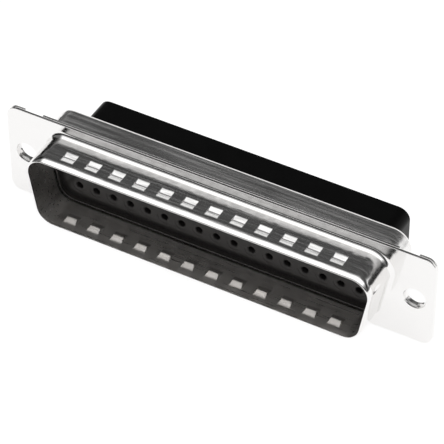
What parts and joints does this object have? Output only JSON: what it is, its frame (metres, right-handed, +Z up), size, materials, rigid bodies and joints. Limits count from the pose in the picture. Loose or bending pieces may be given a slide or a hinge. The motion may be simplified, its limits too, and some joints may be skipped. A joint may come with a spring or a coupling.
{
  "type": "d-sub connector housing",
  "caption": "D-shaped plug connector housing with a flanged metal shell, three rows of empty crimp-contact cavities and two panel mounting holes.",
  "frame": {"origin": "midway between the two mounting holes, on the front face of the flange", "axes": "+X along the connector, +Z up with the wide side of the D on top, -Y is the mating side"},
  "size_m": [0.067, 0.0167, 0.0154],
  "materials": {
    "front_shell": "satin tin plate on drawn steel",
    "rear_shell": "satin tin plate on drawn steel",
    "front_insulator": "black moulded nylon, matt",
    "rear_insulator": "black moulded nylon, satin"
  },
  "bodies": {
    "root": {"front_shell": "front_shell", "rear_shell": "rear_shell", "front_insulator": "front_insulator", "rear_insulator": "rear_insulator"}
  },
  "joints": []
}
